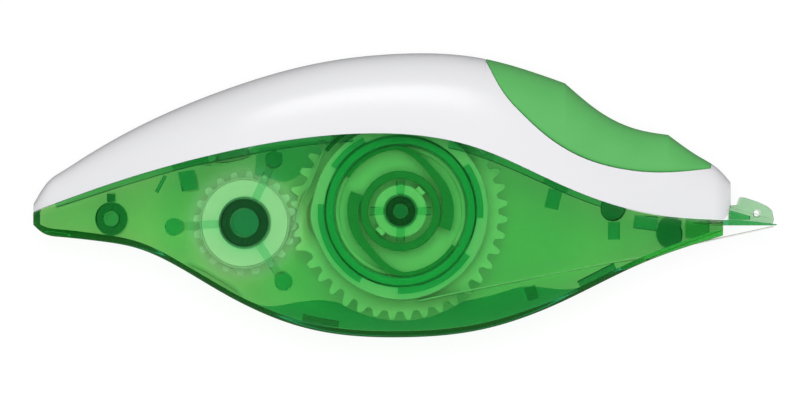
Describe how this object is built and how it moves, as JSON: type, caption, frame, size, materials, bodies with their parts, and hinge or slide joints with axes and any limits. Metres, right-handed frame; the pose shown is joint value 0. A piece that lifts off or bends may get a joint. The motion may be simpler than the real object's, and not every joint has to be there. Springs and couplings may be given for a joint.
{
  "type": "correction tape dispenser",
  "caption": "Hand-held correction tape dispenser with a translucent case, geared tape reels, a ribbed clutch, a rubber finger rest and a pressing tip.",
  "frame": {"origin": "middle of the box's underside, on the flat panel of the rear half that it rests on", "axes": "+X along the tool towards the pressing tip, +Y up to the finger rest, +Z across the width towards the front half"},
  "size_m": [0.1238, 0.0473, 0.016],
  "materials": {
    "clear_green": "polished translucent green polystyrene",
    "white_gloss": "glossy white moulded ABS",
    "green_rubber": "satin moulded green elastomer",
    "clear_tip": "clear pale green moulded plastic",
    "pale_acetal": "natural moulded acetal",
    "green_acetal": "moulded green acetal",
    "coated_tape": "matte white coating on film",
    "bare_film": "clear carrier film"
  },
  "bodies": {
    "case": {"front_shell": "clear_green", "back_shell": "clear_green", "top_cover": "white_gloss", "finger_grip": "green_rubber", "applicator_tip": "clear_tip", "fresh_tape": "coated_tape", "return_liner": "bare_film"},
    "drive": {"drive_gear": "pale_acetal", "clutch_spring": "green_acetal"},
    "supply": {"supply_spool": "pale_acetal", "tape_roll": "coated_tape"},
    "takeup": {"takeup_reel": "pale_acetal", "liner_wrap": "bare_film"}
  },
  "joints": [
    {"name": "drive_spin", "type": "hinge", "parent": "case", "child": "drive", "pos_m": [-0.00058, -0.0025, 0.0031], "axis": [0, 0, 1], "continuous": true},
    {"name": "clutch_slip", "type": "hinge", "parent": "drive", "child": "supply", "pos_m": [-0.00058, -0.0025, 0.0052], "axis": [0, 0, 1], "continuous": true},
    {"name": "takeup_spin", "type": "hinge", "parent": "case", "child": "takeup", "pos_m": [-0.02649, -0.00445, 0.0031], "axis": [0, 0, 1], "continuous": true}
  ],
  "couplings": [
    {"joint": "takeup_spin", "follows": "drive_spin", "ratio": -2}
  ]
}
